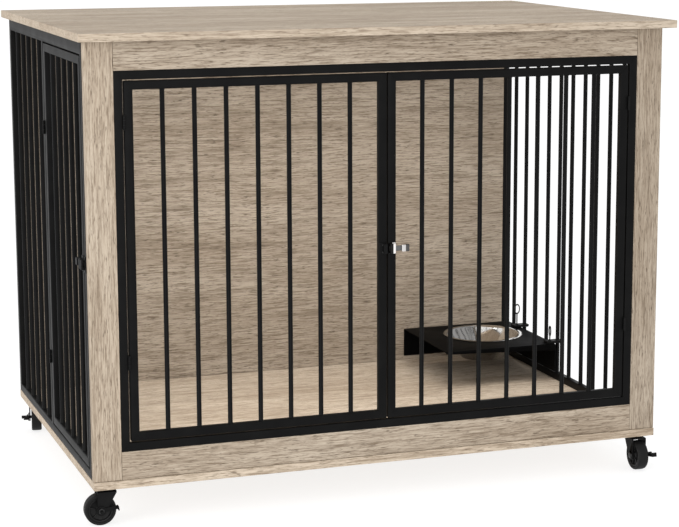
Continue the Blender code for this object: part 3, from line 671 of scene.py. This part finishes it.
def make_fittings():
    for door in ("front_left", "front_right", "side"):
        for level in ("upper", "lower"):
            paint(f"{door}_{level}_hinge_frame_leaf", STEEL_FITTING)
            paint(f"{door}_{level}_hinge_door_leaf", STEEL_FITTING)
    for latch in ("side_latch_keeper", "side_latch_barrel", "side_latch_bolt", "front_latch_keeper"):
        paint(latch, STEEL_FITTING)
    paint("front_latch_barrel", latch_chrome("barrel chrome with painted reflections", "front_latch_barrel", BARREL_PAINTED_REFLECTIONS))
    paint("front_latch_bolt", latch_chrome("bolt chrome with painted reflections", "front_latch_bolt", BOLT_PAINTED_REFLECTIONS))
    latch_screws("front_latch_keeper", "front_left_door", 1, 0)
    latch_screws("front_latch_barrel", "front_right_door", 1, 0)
    latch_screws("side_latch_keeper", "crate", 0, -QUARTER_TURN)
    latch_screws("side_latch_barrel", "left_side_door", 0, -QUARTER_TURN)


make_fittings()


# ---------------------------------------------------------------- feeder

FEEDER_SHEET = 0.002
APRON_TALL = 0.014
APRON_SHORT = 0.004
SEAT_RADIUS = 0.077
SCREW_HOLE = 0.0018
OUTER_BEND = 0.0028
INNER_BEND = 0.0012
BEYOND_TRAY = 0.012

RING_WIRE = 0.0014
RING_RADIUS = 0.0085
RING_SQUEEZE = 0.75
RING_STRETCH = 1.15
THREAD_PITCH = 0.0008
THREAD_ABOVE_TRAY = 0.014

CLIP_SIDE_SLIM = 0.0016
CLIP_TOP_SLIM = 0.0028
CLIP_CORNER = 0.004
CLIP_ROUND = 0.0016
BAR_FROM_FACE = 0.006
BAR_FROM_SCREW = 0.008


def make_tray():
    """A sheet bent down along its edges, its front cut to a slope, with a round seat for the bowl."""
    low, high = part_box("feeder_tray")
    tray = block(low - Vector((BEYOND_TRAY, 0, BEYOND_TRAY)), high)
    soften(tray, OUTER_BEND, 4)
    trim(tray, low, (-1, 0, 0))
    trim(tray, low, (0, 0, -1))
    inside_low = Vector((low.x - BEYOND_TRAY, low.y + FEEDER_SHEET, low.z - BEYOND_TRAY))
    inside = block(inside_low, high - Vector((FEEDER_SHEET, FEEDER_SHEET, FEEDER_SHEET)))
    soften(inside, INNER_BEND)
    carve(tray, inside)
    wedge = block(
        low - Vector((BEYOND_TRAY, BEYOND_TRAY, BEYOND_TRAY)),
        (high.x - FEEDER_SHEET, low.y + FEEDER_SHEET * 1.4, high.z - APRON_TALL),
    )
    shape = edit(wedge, "VERT")
    select(wedge, shape, shape.verts, lambda vert: vert.co.x < low.x and vert.co.z > low.z)
    bpy.ops.transform.translate(value=(0, 0, APRON_TALL - APRON_SHORT))
    close_edit()
    carve(tray, wedge)
    holes = [(middle("feeder_bowl"), SEAT_RADIUS, 128)]
    holes += [(middle(name), SCREW_HOLE, 24) for name in ("feeder_front_screw", "feeder_rear_screw")]
    for centre, radius, sides in holes:
        below, above = (centre.x, centre.y, high.z - THROUGH), (centre.x, centre.y, high.z + THROUGH)
        carve(tray, rod(below, above, radius, sides))
    soften(tray, 0.0003, 2, 50)
    return done(tray, "feeder_tray_bent", "feeder", "black_steel", TRAY_STEEL, "feeder_tray")


# The bowl's outside from its foot up, its rolled rim, and its inside back down, as (radius, height)
BOWL_HEIGHT = 0.0512
BOWL_SHAPE = [
    (0.004, 0.0), (0.040, 0.0), (0.0455, 0.0009), (0.0478, 0.0036), (0.0570, 0.0160), (0.0672, 0.0312),
    (0.0738, 0.0428), (0.0757, 0.0482), (0.0764, 0.0494), (0.0776, 0.0500), (0.0825, 0.0501), (0.0836, 0.0502),
    (0.0840, 0.0506), (0.0836, 0.0511), (0.0825, 0.0512), (0.0776, 0.0512), (0.0760, 0.0506), (0.0750, 0.0494),
    (0.0742, 0.0474), (0.0724, 0.0424), (0.0660, 0.0312), (0.0558, 0.0160), (0.0480, 0.0058), (0.0455, 0.0030),
    (0.0420, 0.0018), (0.0340, 0.0016), (0.0330, 0.0022), (0.0300, 0.0022), (0.0290, 0.0016), (0.0180, 0.0016),
    (0.0172, 0.0020), (0.0150, 0.0020), (0.0142, 0.0014), (0.004, 0.0012),
]


def make_bowl():
    centre = middle("feeder_bowl")
    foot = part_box("feeder_bowl")[1].z - BOWL_HEIGHT
    bowl = turned(BOWL_SHAPE, 128)
    shift(bowl, Matrix.Translation((centre.x, centre.y, foot)))
    finish = spun_steel("spun stainless steel", centre)
    return done(bowl, "feeder_bowl_spun", "feeder_bowl", "stainless", finish, "feeder_bowl")


def make_ring_screw(name, tray_top, turn):
    """A wire ring closed on a threaded stem, with a collar on its clamp."""
    low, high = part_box(name)
    centre = middle(name)
    ring_middle = high.z - RING_WIRE - RING_RADIUS * RING_STRETCH
    bpy.ops.object.select_all(action="DESELECT")
    bpy.ops.mesh.primitive_torus_add(
        major_radius=RING_RADIUS,
        minor_radius=RING_WIRE,
        major_segments=48,
        minor_segments=12,
        rotation=(QUARTER_TURN, 0, 0),
    )
    ring = settle(bpy.context.object)
    edit_all(ring)
    bpy.ops.transform.resize(value=(RING_SQUEEZE, 1, RING_STRETCH), center_override=(0, 0, 0))
    close_edit()
    shift(ring, Matrix.Translation((0, 0, ring_middle)))
    stem_top = ring_middle - RING_RADIUS * RING_STRETCH
    profile = [(0.0011, low.z), (0.0014, low.z + 0.0006)]
    z = low.z + 0.0010
    thread_top = min(stem_top - 0.002, tray_top + THREAD_ABOVE_TRAY)
    while z < thread_top:
        profile += [(0.0015, z), (0.0012, z + THREAD_PITCH / 2)]
        z += THREAD_PITCH
    profile += [(0.0014, thread_top + 0.0006), (0.0013, stem_top + 0.0006)]
    stem = turned(profile, 20)
    collar_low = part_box(name.replace("screw", "clamp"))[1].z - CLIP_TOP_SLIM + 0.0003
    collar = turned(
        [
            (0.0024, collar_low),
            (0.0033, collar_low + 0.0003),
            (0.0033, collar_low + 0.0018),
            (0.0026, collar_low + 0.0025),
            (0.0016, collar_low + 0.0028),
        ],
        32,
    )
    screw = weld(stem, collar, ring)
    spin = Matrix.Rotation(math.radians(turn), 4, "Z")
    shift(screw, Matrix.Translation((centre.x, centre.y, 0)) @ spin)
    return done(screw, f"{name}_threaded", name, "chrome", BLACK_OXIDE, name)


def make_clamp(name):
    """A cast clip: a low block with cut corners, bored for its bar and its screw."""
    low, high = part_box(name)
    low = low + Vector((0, CLIP_SIDE_SLIM, 0))
    high = high - Vector((0, CLIP_SIDE_SLIM, CLIP_TOP_SLIM))
    screw = middle(name.replace("clamp", "screw"))
    clip = block(low, high)
    trim(clip, (high.x - CLIP_CORNER, low.y, 0), (1, -1, 0))
    trim(clip, (high.x - CLIP_CORNER, high.y, 0), (1, 1, 0))
    soften(clip, CLIP_ROUND, 4)
    bar_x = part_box("right_side_panel")[1].x - BAR_FROM_FACE
    bores = [(bar_x, screw.y + BAR_FROM_SCREW, BAR_RADIUS + 0.0003), (screw.x, screw.y, SCREW_HOLE)]
    for x, y, radius in bores:
        carve(clip, rod((x, y, low.z - THROUGH), (x, y, high.z + THROUGH), radius, 32))
    soften(clip, 0.0003, 2, 50)
    return done(clip, f"{name}_cast", "feeder", "black_steel", STEEL_FITTING, name)


def make_feeder():
    tray_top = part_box("feeder_tray")[1].z
    make_tray()
    make_bowl()
    make_ring_screw("feeder_front_screw", tray_top, 80)
    make_ring_screw("feeder_rear_screw", tray_top, 10)
    make_clamp("feeder_front_clamp")
    make_clamp("feeder_rear_clamp")


make_feeder()

# ---------------------------------------------------------------- casters
# Each piece is made with its axle at the origin along Y and the fork's swivel towards -X.

CHEEK_IN = 0.0120
CHEEK_OUT = 0.0145
FORK_HALF_LENGTH = 0.017
BOSS = 0.0085
AXLE = 0.0030
AXLE_HOLE = AXLE + 0.0002
GAP = 0.0003
CROWN_ROUND = 0.0028
CROWN_SHEET = 0.0025
NOSE_END = Vector((-0.0073, 0, -0.0043))
TAIL_END = Vector((0.0084, 0, 0.0015))
TAIL_DROP = 0.014
RIVET_HOLE = 0.0048

BOLT_HEAD = 0.0055
NUT_HEIGHT = 0.0025
SHANK_END = 0.0030

LEVER_SHEET = 0.0018
LEVER_REACH = 0.030
LEVER_HALF = 0.0035
LEVER_RISE = 0.0055
LEVER_RING = 0.0085
TREAD_WIDTH = 0.011

PLATE_SHEET = 0.002
PLATE_CORNER = 0.005
PLATE_SCREW_PLACE = 0.0135

RIBS = 6
RIB_CORNER = Vector((0.0186, 0.0007, 0.0078))
RIB_START = 0.0070
RIB_TURN = 15
WHEEL_RADIUS = 0.0280
# A wheel's side from its hub to its tread, as (radius, distance from its middle)
WHEEL_SIDE = [
    (0.0034, 0.0092), (0.0052, 0.0095), (0.0062, 0.0090), (0.0068, 0.0066), (0.0078, 0.0056), (0.0172, 0.0050),
    (0.0182, 0.0056), (0.0190, 0.0086), (0.0198, 0.0092), (0.0212, 0.0092), (0.0217, 0.0086), (0.0223, 0.0086),
    (0.0229, 0.0096), (0.0250, 0.0101), (0.0266, 0.0098), (0.0275, 0.0086), (0.0279, 0.0068), (0.0280, 0.0040),
]
TYRE_STARTS = 0.0219


def make_wheel(label, place):
    """A moulded wheel: hub, recessed web with ribs, rim and a rounded tyre."""
    other_side = [(radius, -height) for radius, height in reversed(WHEEL_SIDE)]
    profile = WHEEL_SIDE + [(WHEEL_RADIUS, 0.0)] + other_side
    wheel = turned(profile + [profile[0]], 72)
    ribs = []
    for number in range(RIBS):
        rib = block((RIB_START, -RIB_CORNER.y, -RIB_CORNER.z), RIB_CORNER)
        soften(rib, 0.0003, 2)
        turn = math.radians(360 / RIBS * number + RIB_TURN)
        ribs.append(shift(rib, Matrix.Rotation(turn, 4, "Z")))
    weld(wheel, *ribs)
    shift(wheel, Matrix.Rotation(QUARTER_TURN, 4, "X"))
    done(wheel, f"{label}_wheel_moulded", f"{label}_wheel", "black_rubber", HUB, f"{label}_wheel")
    wheel.data.materials.append(TYRE)
    for face in wheel.data.polygons:
        if math.hypot(face.center.x, face.center.z) > TYRE_STARTS:
            face.material_index = 1
    return shift(wheel, place)


def make_fork(label, place, trail, top):
    """A pressed fork: a crown and two cheeks that taper to rounded ends."""
    front, back = -trail - FORK_HALF_LENGTH, -trail + FORK_HALF_LENGTH
    fork = block((front, -CHEEK_OUT, 0), (back, CHEEK_OUT, top))

    def long_top_edge(edge):
        first, second = edge.verts[0].co, edge.verts[1].co
        return abs(first.z - top) < 1e-5 and abs(second.z - top) < 1e-5 and first.y * second.y > 0

    shape = edit(fork, "EDGE")
    select(fork, shape, shape.edges, long_top_edge)
    bpy.ops.mesh.bevel(offset=CROWN_ROUND, segments=4)
    close_edit()
    inside_low = (front - THROUGH, -CHEEK_IN, -0.02)
    carve(fork, block(inside_low, (back + THROUGH, CHEEK_IN, top - CROWN_SHEET)))
    nose_start, tail_start = Vector((front, 0, top)), Vector((back, 0, top - TAIL_DROP))
    nose, tail = NOSE_END - nose_start, TAIL_END - tail_start
    trim(fork, nose_start, (nose.z, 0, -nose.x))
    trim(fork, tail_start, (-tail.z, 0, tail.x))
    bosses = [
        rod((0, -CHEEK_OUT, 0), (0, -CHEEK_IN, 0), BOSS, 48),
        rod((0, CHEEK_IN, 0), (0, CHEEK_OUT, 0), BOSS, 48),
    ]
    weld(fork, *bosses)
    carve(fork, rod((0, -0.03, 0), (0, 0.03, 0), AXLE_HOLE, 32))
    carve(fork, rod((-trail, 0, top - THROUGH), (-trail, 0, top + THROUGH), RIVET_HOLE, 32))
    soften(fork, 0.0004, 2)
    rivet = turned([(0.0047, top - 0.0034), (0.0047, top - 0.0001), (0.0020, top - 0.0001)], 32)
    shift(rivet, Matrix.Translation((-trail, 0, 0)))
    fork = join([fork, rivet])
    shift(fork, place)
    return done(
        fork, f"{label}_fork_pressed", f"{label}_swivel", "black_steel", STEEL_FITTING, f"{label}_caster_fork"
    )


def make_axle(label, place):
    """A bolt with a domed head on one side and a hexagon nut over the brake lever."""
    head = CHEEK_OUT + GAP
    curve = [(0.0050, 0.0016), (0.0036, 0.0022), (0.0016, 0.0025)]
    dome = turned([(BOLT_HEAD, 0), (BOLT_HEAD, 0.0008)] + curve, 40)
    shift(dome, Matrix.Translation((0, -head, 0)) @ Matrix.Rotation(QUARTER_TURN, 4, "X"))
    far = head + LEVER_SHEET + GAP
    nut = rod((0, far, 0), (0, far + NUT_HEIGHT, 0), BOLT_HEAD, 6)
    soften(nut, 0.0003, 2)
    shank = rod((0, -head - GAP, 0), (0, far + SHANK_END, 0), AXLE, 32)
    axle = weld(shank, dome, nut)
    shift(axle, place)
    return done(axle, f"{label}_axle_bolt", f"{label}_swivel", "black_steel", BLACK_OXIDE, f"{label}_axle")


def make_pedal(label, place, way):
    """A pressed brake lever on the axle with a tread turned outwards. way is the side it points to."""
    start = CHEEK_OUT + GAP
    end = start + LEVER_SHEET
    lever = block((-LEVER_REACH, start, -LEVER_HALF), (0, end, LEVER_HALF))
    tread = block(
        (-LEVER_REACH - 0.0004, start + 0.0004, -LEVER_HALF - 0.0006),
        (-LEVER_REACH + LEVER_SHEET, start + TREAD_WIDTH, LEVER_HALF + 0.0006),
    )
    soften(tread, 0.0008)
    ring = rod((0, start, 0), (0, end, 0), LEVER_RING, 48)
    weld(lever, ring, tread)
    carve(lever, rod((0, start - THROUGH, 0), (0, end + THROUGH, 0), AXLE_HOLE, 32))
    soften(lever, 0.0003, 2, 50)
    rise = math.atan2(LEVER_RISE, LEVER_REACH)
    shift(lever, Matrix.Rotation(rise, 4, "Y"))
    if way > 0:
        shift(lever, Matrix.Scale(-1, 4, (1, 0, 0)))
        edit_all(lever)
        bpy.ops.mesh.flip_normals()
        close_edit()
    shift(lever, place)
    return done(
        lever, f"{label}_brake_lever", f"{label}_brake", "black_steel", STEEL_FITTING, f"{label}_brake_pedal"
    )


def make_plate(label, swivel):
    """A rounded square plate with the pressed ball race under it, and its four screws."""
    low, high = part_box(f"{label}_caster_plate")
    bottom = high.z - PLATE_SHEET
    plate = block((low.x, low.y, bottom), high)

    def upright(edge):
        return abs(edge.verts[0].co.z - edge.verts[1].co.z) > PLATE_SHEET / 2

    shape = edit(plate, "EDGE")
    select(plate, shape, shape.edges, upright)
    bpy.ops.mesh.bevel(offset=PLATE_CORNER, segments=6)
    close_edit()
    soften(plate, 0.0003, 2)
    race = turned(
        [
            (0.0125, bottom + 0.0006),
            (0.0125, bottom - 0.0006),
            (0.0118, bottom - 0.0012),
            (0.0112, bottom - 0.0026),
            (0.0106, bottom - 0.0030),
            (0.0050, bottom - 0.0030),
        ],
        48,
    )
    shift(race, Matrix.Translation((swivel.x, swivel.y, 0)))
    weld(plate, race)
    screws = []
    for x in (-PLATE_SCREW_PLACE, PLATE_SCREW_PLACE):
        for y in (-PLATE_SCREW_PLACE, PLATE_SCREW_PLACE):
            head = shift(screw_head(0.0026, 0.0013), Matrix.Rotation(QUARTER_TURN, 4, "X"))
            screws.append(shift(head, Matrix.Translation((swivel.x + x, swivel.y + y, bottom))))
    done(join(screws), f"{label}_plate_screws", "crate", "black_steel", BLACK_OXIDE)
    return done(
        plate, f"{label}_plate_pressed", "crate", "black_steel", STEEL_FITTING, f"{label}_caster_plate"
    )


def make_casters():
    for label in ("front_left", "front_right", "rear_left", "rear_right"):
        swivel, hub = middle(f"{label}_caster_plate"), middle(f"{label}_wheel")
        trail = Vector((hub.x - swivel.x, hub.y - swivel.y))
        turn = math.atan2(trail.y, trail.x)
        place = Matrix.Translation(hub) @ Matrix.Rotation(turn, 4, "Z")
        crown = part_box(f"{label}_caster_fork")[1].z - hub.z
        pedal = place.inverted() @ middle(f"{label}_brake_pedal")
        make_wheel(label, place)
        make_fork(label, place, trail.length, crown)
        make_axle(label, place)
        make_pedal(label, place, pedal.x)
        make_plate(label, swivel)


make_casters()

# ---------------------------------------------------------------- camera, light and floor

CAMERA_PLACE = (-1.2252, -3.6777, 1.0819)
CAMERA_TILT = 9.87
CAMERA_TURN = 20.07
CAMERA_LENS = 106.81
CAMERA_SENSOR = 36
CAMERA_SHIFT = (-0.0642, -0.0239)
FLOOR_SIZE = 160
FLOOR_GLOW = 0.76


def make_camera():
    data = bpy.data.cameras.new("camera")
    data.lens = CAMERA_LENS
    data.sensor_width = CAMERA_SENSOR
    data.shift_x, data.shift_y = CAMERA_SHIFT
    camera = bpy.data.objects.new("camera", data)
    camera.location = CAMERA_PLACE
    camera.rotation_euler = (math.radians(90 - CAMERA_TILT), 0, math.radians(-CAMERA_TURN))
    bpy.context.scene.collection.objects.link(camera)
    bpy.context.scene.camera = camera


def area_light(name, place, target, size, power, glossy=True):
    data = bpy.data.lights.new(name, "AREA")
    data.shape = "RECTANGLE"
    data.size, data.size_y = size
    data.energy = power
    light = bpy.data.objects.new(name, data)
    light.location = place
    light.rotation_euler = (Vector(target) - Vector(place)).to_track_quat("-Z", "Y").to_euler()
    light.visible_camera = False
    light.visible_glossy = glossy
    bpy.context.scene.collection.objects.link(light)


def make_floor():
    bpy.ops.object.select_all(action="DESELECT")
    bpy.ops.mesh.primitive_plane_add(size=FLOOR_SIZE, location=(0, FLOOR_SIZE / 4, 0))
    floor = settle(bpy.context.object)
    floor.name = "studio floor"
    finish = Finish("pale floor", Roughness=0.9, Specular_IOR_Level=0.0)
    cloud = finish.noise(finish.place, 1.5, 2.0, 0.5)
    finish.set(Base_Color=finish.mix(cloud, (0.30, 0.30, 0.30), (0.32, 0.32, 0.32)))
    finish.shader.inputs["Emission Color"].default_value = (1, 1, 1, 1)
    finish.shader.inputs["Emission Strength"].default_value = FLOOR_GLOW
    floor.data.materials.append(finish.material)


def make_studio():
    scene = bpy.context.scene
    scene.view_settings.view_transform = "Standard"
    world = bpy.data.worlds.new("studio")
    world.use_nodes = True
    background = world.node_tree.nodes["Background"]
    background.inputs["Color"].default_value = (1, 1, 1, 1)
    background.inputs["Strength"].default_value = 1.0
    scene.world = world
    area_light("left softbox", (-3.0, -1.7, 1.4), (-0.3, 0, 0.45), (1.4, 1.6), 40)
    area_light("front softbox", (-0.9, -3.6, 1.3), (0, 0, 0.45), (2.2, 1.8), 34)
    area_light("cabin fill", (0, -0.17, 0.83), (0, -0.17, 0), (0.9, 0.32), 7.6, glossy=False)


make_camera()
make_studio()
make_floor()
